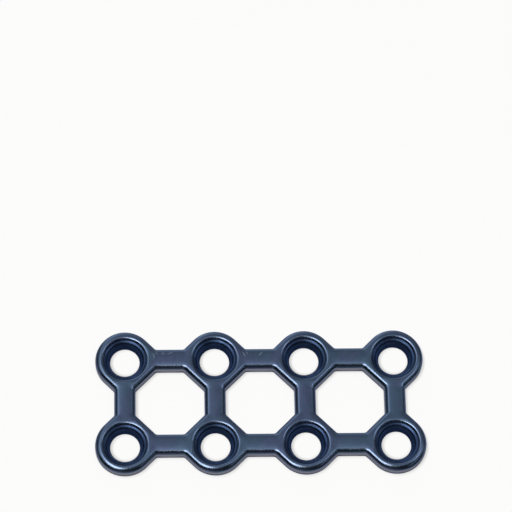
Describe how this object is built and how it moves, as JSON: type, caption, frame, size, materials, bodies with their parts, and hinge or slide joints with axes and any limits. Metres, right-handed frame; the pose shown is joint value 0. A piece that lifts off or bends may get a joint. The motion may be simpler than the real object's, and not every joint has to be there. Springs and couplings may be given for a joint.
{
  "type": "orthopedic bone plate",
  "caption": "Flat anodised titanium grid mini plate: countersunk screw eyelets tied by straight bars around octagonal windows.",
  "frame": {"origin": "middle of the flat underside that lies on the bone", "axes": "+X along the four columns of holes, +Y across the two rows, +Z out of the bone side, towards the screw heads"},
  "size_m": [0.0256, 0.0116, 0.001],
  "materials": {
    "anodised_titanium": "satin, tumbled and anodised blue"
  },
  "bodies": {
    "root": {"bone_plate": "anodised_titanium"}
  },
  "joints": []
}
